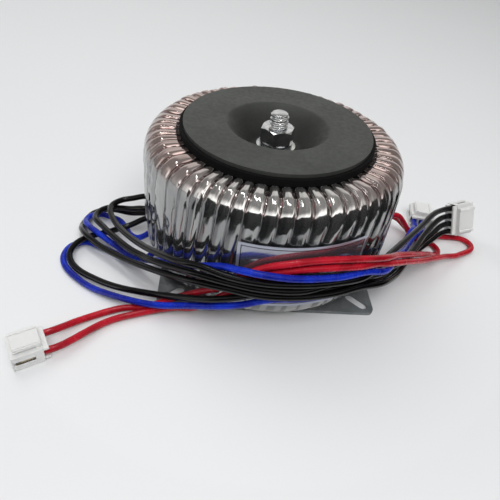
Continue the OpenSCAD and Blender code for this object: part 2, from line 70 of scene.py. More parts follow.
def colour(text):
    # a hex colour made linear
    parts = [int(text[i:i + 2], 16) / 255 for i in (1, 3, 5)]
    return [p / 12.92 if p <= 0.04045 else ((p + 0.055) / 1.055) ** 2.4 for p in parts] + [1]


def put(tree, kind, links=None, **settings):
    # adds one shader node with its settings, and links or sets its inputs
    made = tree.nodes.new("ShaderNode" + kind)
    for key, value in settings.items():
        setattr(made, key, value)
    for key, value in (links or {}).items():
        if isinstance(value, bpy.types.NodeSocket):
            tree.links.new(value, made.inputs[key])
        else:
            made.inputs[key].default_value = value
    return made


def band(tree, value, low, high, outLow=0.0, outHigh=1.0):
    # smooth step of a value between two levels
    made = put(tree, "MapRange", {"Value": value, "From Min": low, "From Max": high,
                                  "To Min": outLow, "To Max": outHigh},
               interpolation_type="SMOOTHSTEP")
    return made.outputs["Result"]


def newMaterial(name):
    made = bpy.data.materials.new(name)
    made.use_nodes = True
    tree = made.node_tree
    tree.nodes.clear()
    shader = put(tree, "BsdfPrincipled")
    put(tree, "OutputMaterial", {"Surface": shader.outputs["BSDF"]})
    return made, tree, shader


def wire(tree, shader, key, socket):
    tree.links.new(socket, shader.inputs[key])


def place(tree):
    return put(tree, "TexCoord").outputs["Object"]


def grain(tree, size, detail=3.0, rough=0.55, where=None):
    # noise whose largest lumps are size metres across
    made = put(tree, "TexNoise", {"Vector": where or place(tree), "Scale": 1 / size, "Detail": detail,
                                  "Roughness": rough})
    return made.outputs["Fac"]


def bump(tree, shader, height, depth, strength=1.0):
    made = put(tree, "Bump", {"Height": height, "Distance": depth, "Strength": strength})
    wire(tree, shader, "Normal", made.outputs["Normal"])


def polar(tree):
    # angle round the bolt's axis, distance from it and height, from the object's own coordinates
    parts = put(tree, "SeparateXYZ", {"Vector": place(tree)})
    x, y, z = (parts.outputs[k] for k in "XYZ")
    angle = put(tree, "Math", {0: y, 1: x}, operation="ARCTAN2").outputs[0]
    flat = put(tree, "CombineXYZ", {"X": x, "Y": y}).outputs[0]
    radius = put(tree, "VectorMath", {0: flat}, operation="LENGTH").outputs["Value"]
    return angle, radius, z


def maths(tree, operation, a, b=0.0):
    return put(tree, "Math", {0: a, 1: b}, operation=operation).outputs[0]


def blendColour(tree, share, a, b):
    made = put(tree, "Mix", {"Factor": share}, data_type="RGBA")
    for key, value in ((6, a), (7, b)):
        if isinstance(value, bpy.types.NodeSocket):
            tree.links.new(value, made.inputs[key])
        else:
            made.inputs[key].default_value = colour(value)
    return made.outputs[2]


def keep(name, bm, material, smooth=True):
    # the finished bmesh as an object at the origin, riding on the root body
    mesh = bpy.data.meshes.new(name)
    bm.to_mesh(mesh)
    bm.free()
    for face in mesh.polygons:
        face.use_smooth = smooth
    made = bpy.data.objects.new(name, mesh)
    bpy.context.scene.collection.objects.link(made)
    mesh.materials.append(material)
    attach(made, "root")
    return made


def dress(node, material):
    # a better finish on a CAD node whose shape is right
    slots = nodes[node].material_slots
    if len(slots) == 0:
        nodes[node].data.materials.append(material)
    for one in slots:
        one.material = material


# PVC insulation, extruded: a soft gloss with finger marks
insulationSet = {
    "red": {"dark": "#960e1e", "light": "#b8172a", "roughness": 0.2},
    "black": {"dark": "#050505", "light": "#0b0b0c", "roughness": 0.14},
    "blue": {"dark": "#0a1a84", "light": "#1030b6", "roughness": 0.22},
}


def extrudedPvc(name, c):
    made, tree, shader = newMaterial(name)
    tint = grain(tree, 9 * mm, 2)
    wire(tree, shader, "Base Color", blendColour(tree, band(tree, tint, 0.35, 0.65), c["dark"], c["light"]))
    scuff = grain(tree, 2.5 * mm, 4)
    wire(tree, shader, "Roughness",
         band(tree, scuff, 0.3, 0.75, c["roughness"] - 0.06, c["roughness"] + 0.12))
    shader.inputs["Specular IOR Level"].default_value = 0.32
    bump(tree, shader, grain(tree, 0.9 * mm, 3), 0.04 * mm, 0.35)
    return made


insulation = {tint: extrudedPvc(tint + "ExtrudedPvc", c) for tint, c in insulationSet.items()}

ringSet = {"woundRadius": 0.0556, "woundCorner": 0.0073}
seatSet = {"pitch": 0.0042, "wayHeight": 0.0034, "barrel": 0.003, "leadIn": 0.008}
seats = {
    "red": {"ways": 3, "place": (-0.085, -0.0705, 0), "heading": 209, "roll": 0},
    "black": {"ways": 4, "place": (0.098, 0.015, 0.0105), "heading": 22, "roll": 66},
    "blue": {"ways": 3, "place": (0.0895, 0.02, 0), "heading": 78, "roll": 0},
}
leadDiameter = 0.0028
leadSteps = 8


def aroundRing(radius, angle, height):
    a = math.radians(angle)
    return (radius * math.cos(a), radius * math.sin(a), height)


leads = {
    "redLead1": {"node": "red_lead_1", "seat": "red", "way": 0, "length": 0.278,
        "exit": (7, 0.017, 0), "points": [
            (0.0655, 0.0085, 0.0155), (0.0705, 0.0098, 0.014), (0.0754, 0.0102, 0.0087),
            (0.079, 0.0089, 0.0041), (0.0822, 0.0076, 0.002), (0.0847, 0.0066, 0.0016),
            (0.0873, 0.0056, 0.0015), (0.09, 0.0042, 0.0015), (0.0916, 0.0018, 0.0015),
            (0.0919, -0.0013, 0.0016), (0.0907, -0.0041, 0.0019), (0.0886, -0.006, 0.0026),
            (0.0853, -0.0088, 0.0046), (0.079, -0.015, 0.01), (0.0635, -0.029, 0.021),
            (0.053, -0.0375, 0.0272), (0.0455, -0.045, 0.032), aroundRing(0.063, 308, 0.035),
            aroundRing(0.0615, 297, 0.0385), aroundRing(0.0594, 284, 0.0393),
            aroundRing(0.0592, 274, 0.0383), aroundRing(0.0592, 264, 0.0352),
            aroundRing(0.0592, 256, 0.0288), aroundRing(0.0592, 249, 0.021),
            aroundRing(0.0593, 240, 0.0138), (-0.039, -0.048, 0.0064), (-0.0506, -0.0494, 0.0019),
            (-0.062, -0.0512, 0.0016), (-0.075, -0.0576, 0.0016)]},
    "redLead2": {"node": "red_lead_2", "seat": "red", "way": 2, "length": 0.312,
        "exit": (13, 0.015, 0), "points": [
            (0.064, 0.0148, 0.0135), (0.0685, 0.0155, 0.0105), (0.074, 0.0156, 0.0075),
            (0.0788, 0.0138, 0.0038), (0.0836, 0.0116, 0.0017), (0.09, 0.0106, 0.0016),
            (0.096, 0.011, 0.0015), (0.1005, 0.0109, 0.0015), (0.1042, 0.0109, 0.0015),
            (0.1072, 0.0106, 0.0015), (0.1098, 0.0096, 0.0015), (0.1117, 0.0076, 0.0015),
            (0.1124, 0.0049, 0.0015), (0.1116, 0.002, 0.0015), (0.1094, -0.0002, 0.0016),
            (0.1065, -0.002, 0.0018), (0.1035, -0.0038, 0.0022), (0.0985, -0.007, 0.0034),
            (0.09, -0.0115, 0.0062), (0.074, -0.0235, 0.0134), (0.0585, -0.0355, 0.022),
            (0.0465, -0.0445, 0.0283), aroundRing(0.0628, 311, 0.0304),
            aroundRing(0.0625, 300, 0.0344), aroundRing(0.0605, 288, 0.0358),
            aroundRing(0.0592, 276, 0.035), aroundRing(0.0592, 264, 0.0312),
            aroundRing(0.0593, 256, 0.0232), aroundRing(0.0594, 248, 0.0145),
            aroundRing(0.061, 239.5, 0.006), (-0.0405, -0.0512, 0.0036),
            (-0.0532, -0.0532, 0.0018), (-0.066, -0.0588, 0.0016)]},
    "blackLead1": {"node": "black_lead_1", "seat": "black", "way": 3, "length": 0.268,
        "exit": (168, 0.0145, 0), "points": [
            (-0.065, 0.0125, 0.0128), (-0.0705, 0.011, 0.0122), (-0.074, 0.0065, 0.0123),
            (-0.074, 0.0015, 0.0123), (-0.072, -0.004, 0.0125), (-0.0665, -0.014, 0.014),
            (-0.0545, -0.031, 0.0195), (-0.04, -0.0485, 0.028), aroundRing(0.0626, 242, 0.0312),
            aroundRing(0.0625, 253, 0.0308), aroundRing(0.0623, 265, 0.0305),
            aroundRing(0.0623, 278, 0.0302), aroundRing(0.0623, 291, 0.0289),
            aroundRing(0.0624, 304, 0.0263), aroundRing(0.061, 316, 0.0245),
            (0.0525, -0.0315, 0.023), (0.0625, -0.02, 0.021), (0.075, -0.006, 0.019),
            (0.086, 0.0065, 0.0185)]},
    "blackLead2": {"node": "black_lead_2", "seat": "black", "way": 2, "length": 0.275,
        "exit": (176, 0.0129, 0), "points": [
            (-0.065, 0.006, 0.011), (-0.0705, 0.0086, 0.0092), (-0.0755, 0.0092, 0.0088),
            (-0.0793, 0.0073, 0.0085), (-0.081, 0.004, 0.0085), (-0.0812, 0.0006, 0.0088),
            (-0.0796, -0.003, 0.0095), (-0.076, -0.0078, 0.0102), (-0.0715, -0.014, 0.0112),
            (-0.0615, -0.026, 0.0135), (-0.054, -0.0338, 0.016), (-0.0473, -0.0416, 0.02),
            aroundRing(0.0626, 238, 0.026), aroundRing(0.0623, 253, 0.0276),
            aroundRing(0.0623, 265, 0.0273), aroundRing(0.0623, 278, 0.027),
            aroundRing(0.06, 291, 0.0258), aroundRing(0.0593, 303, 0.0239),
            (0.0435, -0.0428, 0.0208), (0.056, -0.032, 0.0162), (0.064, -0.0247, 0.014),
            (0.0715, -0.015, 0.0132), (0.0805, -0.003, 0.013), (0.088, 0.0055, 0.0135)]},
    "blackLead3": {"node": "black_lead_3", "seat": "black", "way": 1, "length": 0.296,
        "exit": (171, 0.0129, -30), "points": [
            (-0.0615, 0.01, 0.0058), (-0.0665, 0.011, 0.0048), (-0.0735, 0.012, 0.0053),
            (-0.0795, 0.0135, 0.004), (-0.0853, 0.0122, 0.0022), (-0.0875, 0.0075, 0.0018),
            (-0.0882, 0.001, 0.0027), (-0.0859, -0.0067, 0.0063), (-0.0811, -0.014, 0.0079),
            (-0.074, -0.0197, 0.0072), (-0.0618, -0.03, 0.01), (-0.0468, -0.0438, 0.017),
            aroundRing(0.063, 239, 0.0222), aroundRing(0.0624, 253, 0.0244),
            aroundRing(0.0623, 265, 0.024), aroundRing(0.0623, 278, 0.0238),
            aroundRing(0.0623, 291, 0.023), aroundRing(0.0625, 304, 0.0212),
            (0.0465, -0.0455, 0.018), (0.0565, -0.035, 0.0132), (0.066, -0.0225, 0.0105),
            (0.077, -0.008, 0.009), (0.087, 0.002, 0.0093)]},
    "blackLead4": {"node": "black_lead_4", "seat": "black", "way": 0, "length": 0.28,
        "exit": (178, 0.0129, -25), "points": [
            (-0.065, 0, 0.0055), (-0.073, -0.0042, 0.0047), (-0.0826, -0.0093, 0.0045),
            (-0.0875, -0.015, 0.0043), (-0.0885, -0.022, 0.0034), (-0.084, -0.029, 0.0025),
            (-0.074, -0.036, 0.003), (-0.0625, -0.042, 0.0045), (-0.046, -0.0472, 0.0068),
            aroundRing(0.0628, 238, 0.012), aroundRing(0.0627, 248, 0.017),
            aroundRing(0.0618, 256, 0.0205), aroundRing(0.0593, 266, 0.0225),
            aroundRing(0.0592, 278, 0.0228), aroundRing(0.0592, 291, 0.0225),
            aroundRing(0.0595, 304, 0.0206), (0.045, -0.043, 0.017), (0.0555, -0.0315, 0.0107),
            (0.066, -0.0205, 0.0073), (0.076, -0.009, 0.0056), (0.086, 0, 0.0056)]},
    "blueLead1": {"node": "blue_lead_1", "seat": "blue", "way": 1, "length": 0.302,
        "exit": (187, 0.0129, -40), "points": [
            (-0.061, -0.006, 0.0028), (-0.065, -0.002, 0.0017), (-0.068, 0.0035, 0.0016),
            (-0.0715, 0.0083, 0.0016), (-0.0765, 0.0103, 0.0022), (-0.081, 0.01, 0.0035),
            (-0.0849, 0.0068, 0.0047), (-0.0863, 0.002, 0.0053), (-0.084, -0.0031, 0.0065),
            (-0.0795, -0.0085, 0.0075), (-0.069, -0.0175, 0.0072), (-0.0613, -0.0255, 0.0084),
            (-0.0532, -0.0318, 0.012), (-0.0475, -0.037, 0.0165), aroundRing(0.0592, 226, 0.021),
            aroundRing(0.0592, 233, 0.0243), aroundRing(0.0592, 241, 0.0283),
            aroundRing(0.0593, 249, 0.0318), aroundRing(0.0615, 256, 0.0343),
            aroundRing(0.0625, 264, 0.0348), aroundRing(0.0623, 276, 0.0335),
            aroundRing(0.0623, 291, 0.0318), aroundRing(0.0626, 304, 0.0296),
            (0.047, -0.0445, 0.0247), (0.057, -0.0285, 0.019), (0.067, -0.015, 0.0124),
            (0.0755, -0.0028, 0.0098), (0.0835, 0.006, 0.008), (0.087, 0.011, 0.0052)]},
    "blueLead2": {"node": "blue_lead_2", "seat": "blue", "way": 2, "length": 0.29,
        "exit": (201, 0.0129, -45), "points": [
            (-0.0585, -0.0215, 0.002), (-0.066, -0.0185, 0.0015), (-0.076, -0.013, 0.0015),
            (-0.084, -0.0098, 0.0015), (-0.0898, -0.0128, 0.0015), (-0.0918, -0.019, 0.0015),
            (-0.0903, -0.0253, 0.0015), (-0.0853, -0.0318, 0.0015), (-0.0752, -0.0398, 0.0017),
            (-0.061, -0.0472, 0.0038), (-0.047, -0.0522, 0.006), aroundRing(0.064, 238, 0.0086),
            aroundRing(0.0627, 249, 0.0136), aroundRing(0.0612, 258, 0.0165),
            aroundRing(0.0593, 268, 0.0193), aroundRing(0.0592, 280, 0.0196),
            aroundRing(0.0592, 292, 0.0193), aroundRing(0.0592, 305, 0.0172),
            aroundRing(0.0595, 318, 0.0139), (0.055, -0.027, 0.0123), (0.066, -0.013, 0.0092),
            (0.0735, -0.0005, 0.0075), (0.0783, 0.0062, 0.0084), (0.0817, 0.0113, 0.0063)]},
}


def onExit(exitAt, along):
    angle, height, tilt = exitAt
    corner, out = ringSet["woundCorner"], ringSet["woundCorner"] + along
    radius = ringSet["woundRadius"] - corner + out * math.cos(math.radians(tilt))
    return aroundRing(radius, angle, height + out * math.sin(math.radians(tilt)))


def seatTurn(seat):
    return (Matrix.Translation(seat["place"]) @ Matrix.Rotation(math.radians(seat["heading"]), 4, "Z")
            @ Matrix.Rotation(math.radians(seat["roll"]), 4, "X"))


def inSeat(seat, way, along):
    across = (way - (seat["ways"] - 1) / 2) * seatSet["pitch"]
    return seatTurn(seat) @ Vector((along, across, seatSet["wayHeight"]))


def leadLine(lead, steps):
    # smooth line from the ring, through the free points, into its way of the housing
    seat = seats[lead["seat"]]
    points = [Vector(p) for p in [onExit(lead["exit"], 0), onExit(lead["exit"], 0.0045)] + lead["points"]]
    points += [inSeat(seat, lead["way"], seatSet["barrel"] - seatSet["leadIn"]),
               inSeat(seat, lead["way"], seatSet["barrel"])]
    points = [2 * points[0] - points[1]] + points + [2 * points[-1] - points[-2]]
    line = []
    for a, b, c, d in zip(points, points[1:], points[2:], points[3:]):
        for step in range(steps):
            t = step / steps
            line.append((2 * b + (c - a) * t + (2 * a - 5 * b + 4 * c - d) * t * t
                         + (3 * b - a - 3 * c + d) * t ** 3) / 2)
    return line + [points[-2]]


for name, lead in leads.items():
    line = leadLine(lead, leadSteps)
    data = bpy.data.curves.new(name, "CURVE")
    data.dimensions = "3D"
    spline = data.splines.new("POLY")
    spline.points.add(len(line) - 1)
    for point, spot in zip(spline.points, line):
        point.co = (*spot, 1)
    data.bevel_depth, data.bevel_resolution, data.use_fill_caps = leadDiameter / 2, 4, True
    data.materials.append(insulation[lead["seat"]])
    piece = bpy.data.objects.new(name, data)
    bpy.context.scene.collection.objects.link(piece)
    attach(piece, "root")
    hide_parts(lead["node"])


filmSet = {
    "radius": 57.1, "corner": 8.8, "holeRadius": 23.1, "holeEdge": 2.4, "clamped": 41.9,
    "middle": 32.0, "clampHalf": 27.5, "crestHalf": 29.0, "side": 1.0, "face": 1.8,
    "lean": 3.0, "seed": 4, "shoulder": 12.5, "woundRadius": 55.6, "woundCorner": 7.3,
    "stray": 0.55, "lip": 4.2, "barrel": 0.35, "lift": 0.25, "skin": 0.15,
    # where the steps of a fold lie between its two creases: close together beside them
    "steps": [0, 0.035, 0.075, 0.13, 0.22, 0.34, 0.46, 0.58, 0.7, 0.8, 0.88, 0.93, 0.967],
}
# crease angles round the front, in degrees; the rest are spread evenly round the back
frontCreases = [-157, -149, -141, -134, -128, -122, -116.5, -111, -105.5, -99, -93, -87, -80.5, -74,
                -67, -61.5, -55.5, -48.5, -40.5, -32.5]
backFolds = 37


def filmSection(c):
    # half of the film's section, from the hole's edge to the middle of the side wall: radius, height
    # above the middle, the way out of the surface, fold height and how far round the corner it is
    rows = [(c["holeRadius"], 0, -1, 0, 0), (c["holeRadius"], c["clampHalf"] - c["holeEdge"], -1, 0, 0),
            (c["holeRadius"] + 0.7, c["clampHalf"] - 0.7, -0.7, 0.7, 0),
            (c["holeRadius"] + c["holeEdge"], c["clampHalf"], 0, 1, 0),
            (c["clamped"] - 6, c["clampHalf"], 0, 1, 0), (c["clamped"] - 0.9, c["clampHalf"], 0, 1, 0.1)]
    rise = c["crestHalf"] - c["clampHalf"]
    for i in range(7):
        t = i / 6
        swell = math.sin(t * math.pi / 2) ** 0.45
        rows.append((c["clamped"] + c["lip"] * t * t * 0.4 + c["lip"] * t * 0.6,
                     c["clampHalf"] + rise * swell,
                     -0.5 * (1 - t), 1, c["face"] * (0.15 + 0.85 * math.sin(t * math.pi / 2))))
    # the shoulder is longer down the wall than it is wide, and the wall is slightly barrelled
    corner = (c["radius"] - c["corner"], c["crestHalf"] - c["shoulder"])
    for i in range(17):
        a = math.radians(90 - 90 * i / 16)
        out = Vector((math.cos(a) / c["corner"], math.sin(a) / c["shoulder"])).normalized()
        rows.append((corner[0] + c["corner"] * math.cos(a) - c["barrel"] * (1 - math.sin(a)),
                     corner[1] + c["shoulder"] * math.sin(a), out.x, out.y,
                     c["side"] + (c["face"] - c["side"]) * math.sin(a)))
    for i in range(1, 9):
        t = 1 - i / 8
        rows.append((c["radius"] - c["barrel"] * t * t, corner[1] * t, 1, 0, c["side"]))
    return rows


def strayed(c, crease, level):
    # how many degrees a crease strays at a level between the film's lower and upper face
    return c["stray"] * noise.noise(Vector((crease * 7.3, level * 1.6, 2.0)))


def foldedFilm(c, material):
    creases = frontCreases + [frontCreases[-1] + (360 + frontCreases[0] - frontCreases[-1]) * k / backFolds
                              for k in range(1, backFolds)]
    folds, steps = len(creases), len(c["steps"])
    half = filmSection(c)
    rows = [(r, c["middle"] - h, outR, -outZ, high) for r, h, outR, outZ, high in half]
    rows += [(r, c["middle"] + h, outR, outZ, high) for r, h, outR, outZ, high in reversed(half[1:-1])]
    count = len(rows)
    bm = bmesh.new()
    share = bm.verts.layers.float.new("crease")
    tone = bm.verts.layers.float.new("foldTone")
    lap = bm.verts.layers.float.new("foldLapPaintedDark")
    streak = bm.verts.layers.float_vector.new("streakPlace")
    rowOf = bm.verts.layers.int.new("row")
    ring = [bm.verts.new((r * mm, 0, z * mm)) for r, z, *_ in rows]
    for i, v in enumerate(ring):
        v[rowOf] = i
    edges = [bm.edges.new((a, b)) for a, b in zip(ring, ring[1:] + ring[:1])]
    bmesh.ops.spin(bm, geom=ring + edges, cent=(0, 0, 0), axis=(0, 0, 1), angle=math.tau,
                   steps=folds * steps, use_merge=True)
    lengths = [0.0]
    for a, b in zip(rows, rows[1:]):
        lengths.append(lengths[-1] + math.hypot(b[0] - a[0], b[1] - a[1]))
    noise.seed_set(c["seed"])
    stand = [0.74 + 0.26 * noise.random() for _ in range(folds)]
    bias = [0.5 + 0.16 * (noise.random() - 0.5) * 2 for _ in range(folds)]
    fat = [1.7 + 1.4 * noise.random() for _ in range(folds)]
    tones = [noise.random() for _ in range(folds)]
    lapPaintedDarkWidths = [0.16 + 0.4 * noise.random() for _ in range(folds)]
    for v in bm.verts:
        index = round(math.atan2(v.co.y, v.co.x) / math.tau * folds * steps) % (folds * steps)
        row = v[rowOf]
        r, z, outR, outZ, high = rows[row]
        k, u = index // steps, c["steps"][index % steps]
        # folds lean, and a crease wanders a little on its way down
        level = max(-1, min(1, (z - c["middle"]) / c["clampHalf"]))
        start, end = creases[k], creases[(k + 1) % folds] + (360 if k == folds - 1 else 0)
        start += strayed(c, k, level)
        end += strayed(c, (k + 1) % folds, level)
        a = math.radians(start + (end - start) * u + c["lean"] * (level - 0.9))
        w = u + (bias[k] - 0.5) * 4 * u * (1 - u) * 0.5
        near = abs(2 * w - 1)
        # a narrow doubled bead stands in the valley between two folds
        bulge = (1 - min(1.0, near / 0.93) ** fat[k]) ** 0.75 + 0.35 * max(0.0, (near - 0.93) / 0.07)
        # some folds carry a second, smaller ridge down the side wall
        bulge *= 1 - 0.16 * (0.5 + 0.5 * math.cos(w * math.tau * 2)) * (tones[k] > 0.45)
        spot = Vector((math.cos(a) * 57, math.sin(a) * 57, z))
        crumple = 0.0
        if high > 0.5:
            crumple = 0.22 * noise.noise(spot * 0.16) + 0.12 * noise.noise(spot * 0.42)
            left = max(0.0, 1 - abs((math.degrees(a) % 360) - 208) / 26)
            crumple += left * 0.5 * noise.noise(Vector((spot.x * 0.22, spot.y * 0.22, z * 0.3)))
        sunk = high * (1 - bulge * stand[k]) + (c["lift"] - crumple if high > 0.5 else 0)
        r2, z2 = r - outR * sunk, z - outZ * sunk
        # it can't sink into what is wound under it
        if outR >= 0 and high > 0.5:
            over = max(0.0, abs(z2 - c["middle"]) - (c["clampHalf"] - c["woundCorner"]))
            inner = c["woundRadius"] - c["woundCorner"]
            gap = math.hypot(max(0.0, r2 - inner), over) - c["woundCorner"] - c["skin"]
            if gap < 0 and r2 > inner:
                r2, z2 = r2 - outR * gap, z2 - outZ * gap
        v.co = Vector((r2 * math.cos(a), r2 * math.sin(a), z2)) * mm
        v[share] = near
        v[tone] = tones[k]
        # marks the doubled strip of each fold, which the film's material paints dark as a painted reflection
        v[lap] = 1.0 if u < lapPaintedDarkWidths[k] else 0.0
        v[streak] = (math.cos(a) * 57 * mm, math.sin(a) * 57 * mm, lengths[row] * mm)
    bm.verts.layers.int.remove(rowOf)
    bmesh.ops.recalc_face_normals(bm, faces=bm.faces)
    piece = keep("foldedFilm", bm, material)
    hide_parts("outer_film")
    return piece


# Polyester film, wound tight over enamelled copper: mirror-like and silvery, with the copper showing pink
# through it on the faces (painted paler at the front), a side wall painted darker, a painted dark reflection
# where it laps double, and dark red with painted shade where it is pinched in a crease
def woundPolyester():
    made, tree, shader = newMaterial("woundPolyesterFilm")
    crease = put(tree, "Attribute", attribute_name="crease").outputs["Fac"]
    tone = put(tree, "Attribute", attribute_name="foldTone").outputs["Fac"]
    lap = put(tree, "Attribute", attribute_name="foldLapPaintedDark").outputs["Fac"]
    along = put(tree, "Attribute", attribute_name="streakPlace").outputs["Vector"]
    angle, radius, height = polar(tree)
    drawn = put(tree, "Mapping", {"Vector": along, "Scale": (1, 1, 0.045)}).outputs[0]
    wide = grain(tree, 6 * mm, 2, where=drawn)
    fine = grain(tree, 1.5 * mm, 4, 0.6, where=drawn)
    # faces and upper corner, where the copper shows through
    up = maths(tree, "ABSOLUTE", maths(tree, "SUBTRACT", height, 0.032))
    face = band(tree, up, 0.0195, 0.0265)
    # painted reflection: the copper tint is painted warmest to the two sides and at the back, and palest at
    # the front, where the film mirrors the bright room
    front = band(tree, maths(tree, "ABSOLUTE", maths(tree, "ADD", angle, 1.62)), 0.35, 1.0)
    copperShareWithPaintedPaleFront = maths(tree, "MULTIPLY", face, maths(tree, "ADD", maths(tree, "MULTIPLY", front, 0.65), 0.12))
    silver = blendColour(tree, fine, "#b2b2b0", "#e6e6e4")
    copper = blendColour(tree, wide, "#8e7570", "#c9aba3")
    skin = blendColour(tree, copperShareWithPaintedPaleFront, silver, copper)
    # the wall's folds are lapped flat; painted reflection: the doubled strip is painted dark beside a light
    # single one, as a facet turned to the dark room would mirror it
    lapPaintedDark = maths(tree, "MULTIPLY", lap, maths(tree, "SUBTRACT", 0.75, maths(tree, "MULTIPLY", face, 0.55)))
    skin = blendColour(tree, lapPaintedDark, skin, "#4a4c4e")
    pale = maths(tree, "MULTIPLY", maths(tree, "SUBTRACT", 1.0, face), maths(tree, "MULTIPLY", tone, 0.5))
    skin = blendColour(tree, pale, skin, "#7d8082")
    # painted shade: the side wall is painted darker than the faces
    wallPaintedShade = maths(tree, "MULTIPLY", maths(tree, "SUBTRACT", 1.0, face), 0.4)
    skin = blendColour(tree, wallPaintedShade, skin, "#66686a")
    # in a crease the film is pinched into a bead; a dark red line on either side of it is the copper's red
    # with painted shade in the valley beside the bead
    inner = band(tree, crease, 0.80, 0.87)
    outer = band(tree, crease, 0.93, 0.97)
    creaseLinesPaintedShade = maths(tree, "MULTIPLY", maths(tree, "SUBTRACT", inner, outer), face)
    skin = blendColour(tree, maths(tree, "MULTIPLY", creaseLinesPaintedShade, 0.95), skin, "#561214")
    # the folds end in rounded tips at the gasket, with shadow between them
    reach = maths(tree, "ADD", 0.0413, maths(tree, "MULTIPLY", maths(tree, "POWER", crease, 3.0), 0.0042))
    tips = band(tree, maths(tree, "SUBTRACT", radius, reach), -0.0004, 0.0004, 1, 0)
    between = maths(tree, "MULTIPLY", tips, face)
    skin = blendColour(tree, between, skin, "#0c0c0c")
    wire(tree, shader, "Base Color", skin)
    wire(tree, shader, "Metallic", maths(tree, "SUBTRACT", 0.92, maths(tree, "MULTIPLY", between, 0.9)))
    wire(tree, shader, "Roughness", band(tree, wide, 0.3, 0.7, 0.07, 0.15))
    shader.inputs["Coat Weight"].default_value = 0.25
    shader.inputs["Coat Roughness"].default_value = 0.05
    ridges = maths(tree, "ADD", maths(tree, "MULTIPLY", fine, 0.35), wide)
    pinch = maths(tree, "SUBTRACT", outer, band(tree, crease, 0.5, 0.93))
    pinch = maths(tree, "MULTIPLY", pinch, maths(tree, "ADD", maths(tree, "MULTIPLY", face, 0.85), 0.15))
    bump(tree, shader, maths(tree, "ADD", maths(tree, "MULTIPLY", ridges, 0.3), pinch), 0.8 * mm, 0.6)
    return made


filmPiece = foldedFilm(filmSet, woundPolyester())
print("film folded:", len(filmPiece.data.polygons), "faces")


boltSet = {"radius": 4.0, "pitch": 1.9, "depth": 0.75, "threadFrom": 52.0, "top": 69.0, "chamfer": 0.8,
           "headFlats": 13.0, "headHeight": 5.3, "headFrom": 0.2, "sides": 64, "rowsPerTurn": 12}


def threadedBolt(c, material):
    bm = bmesh.new()
    heights = []
    z = c["headFrom"] + c["headHeight"] - 0.3
    while z < c["threadFrom"]:
        heights.append(z)
        z += 6
    rows = int((c["top"] - c["threadFrom"]) / c["pitch"] * c["rowsPerTurn"])
    heights += [c["threadFrom"] + (c["top"] - c["threadFrom"]) * i / rows for i in range(rows + 1)]
    line = [bm.verts.new((c["radius"] * mm, 0, h * mm)) for h in heights]
    edges = [bm.edges.new(pair) for pair in zip(line, line[1:])]
    bmesh.ops.spin(bm, geom=line + edges, cent=(0, 0, 0), axis=(0, 0, 1), angle=math.tau,
                   steps=c["sides"], use_merge=True)
    for v in bm.verts:
        h = v.co.z / mm
        if h < c["threadFrom"]:
            continue
        a = math.atan2(v.co.y, v.co.x)
        turn = (h / c["pitch"] - a / math.tau) % 1
        # a rounded root and a narrow crest
        radius = c["radius"] - c["depth"] * (0.5 + 0.5 * math.cos(math.tau * turn)) ** 0.8
        left = c["top"] - h
        radius = min(radius, c["radius"] - c["chamfer"] + left)
        v.co.x, v.co.y = radius * math.cos(a) * mm, radius * math.sin(a) * mm
    rims = [e for e in bm.edges if e.is_boundary]
    bmesh.ops.holes_fill(bm, edges=rims, sides=0)
    head = bmesh.ops.create_cone(bm, cap_ends=True, cap_tris=False, segments=6,
                                 radius1=c["headFlats"] / 2 / math.cos(math.radians(30)) * mm,
                                 radius2=c["headFlats"] / 2 / math.cos(math.radians(30)) * mm,
                                 depth=c["headHeight"] * mm)
    bmesh.ops.translate(bm, verts=head["verts"],
                        vec=(0, 0, (c["headFrom"] + c["headHeight"] / 2) * mm))
    bmesh.ops.recalc_face_normals(bm, faces=bm.faces)
    piece = keep("threadedBolt", bm, material)
    edge = piece.modifiers.new("edges", "EDGE_SPLIT")
    edge.split_angle = math.radians(62)
    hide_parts("centre_bolt")


# Zinc plate over turned steel: bright, slightly blue, with a mottled roughness
def brightZinc():
    made, tree, shader = newMaterial("brightZincPlate")
    cloud = grain(tree, 3 * mm, 4)
    wire(tree, shader, "Base Color", blendColour(tree, band(tree, cloud, 0.3, 0.7), "#b9bcc0", "#dcdcda"))
    shader.inputs["Metallic"].default_value = 1
    wire(tree, shader, "Roughness", band(tree, grain(tree, 0.8 * mm, 4), 0.3, 0.7, 0.16, 0.26))
    bump(tree, shader, grain(tree, 1.2 * mm, 3), 0.02 * mm, 0.4)
    return made


zinc = brightZinc()
threadedBolt(boltSet, zinc)
for node in ("flat_washer", "spring_washer", "hex_nut"):
    dress(node, zinc)
print("bolt and washers done")


# Powder coat on the pressed top plate: matt, near black, with a fine even grain, and painted shade in the
# dish
def powderCoat():
    made, tree, shader = newMaterial("blackPowderCoat")
    radius = polar(tree)[1]
    cloud = band(tree, grain(tree, 14 * mm, 3), 0.35, 0.65)
    flat = blendColour(tree, cloud, "#333532", "#3b3d3a")
    # painted shade: the coat is painted darker in the dish, where its walls shade it
    drawn = band(tree, radius, 0.0165, 0.0235, 0.75, 0)
    wire(tree, shader, "Base Color", blendColour(tree, drawn, flat, "#141513"))
    wire(tree, shader, "Roughness", band(tree, grain(tree, 2 * mm, 3), 0.3, 0.7, 0.5, 0.62))
    bump(tree, shader, grain(tree, 0.35 * mm, 3), 0.03 * mm, 0.6)
    return made


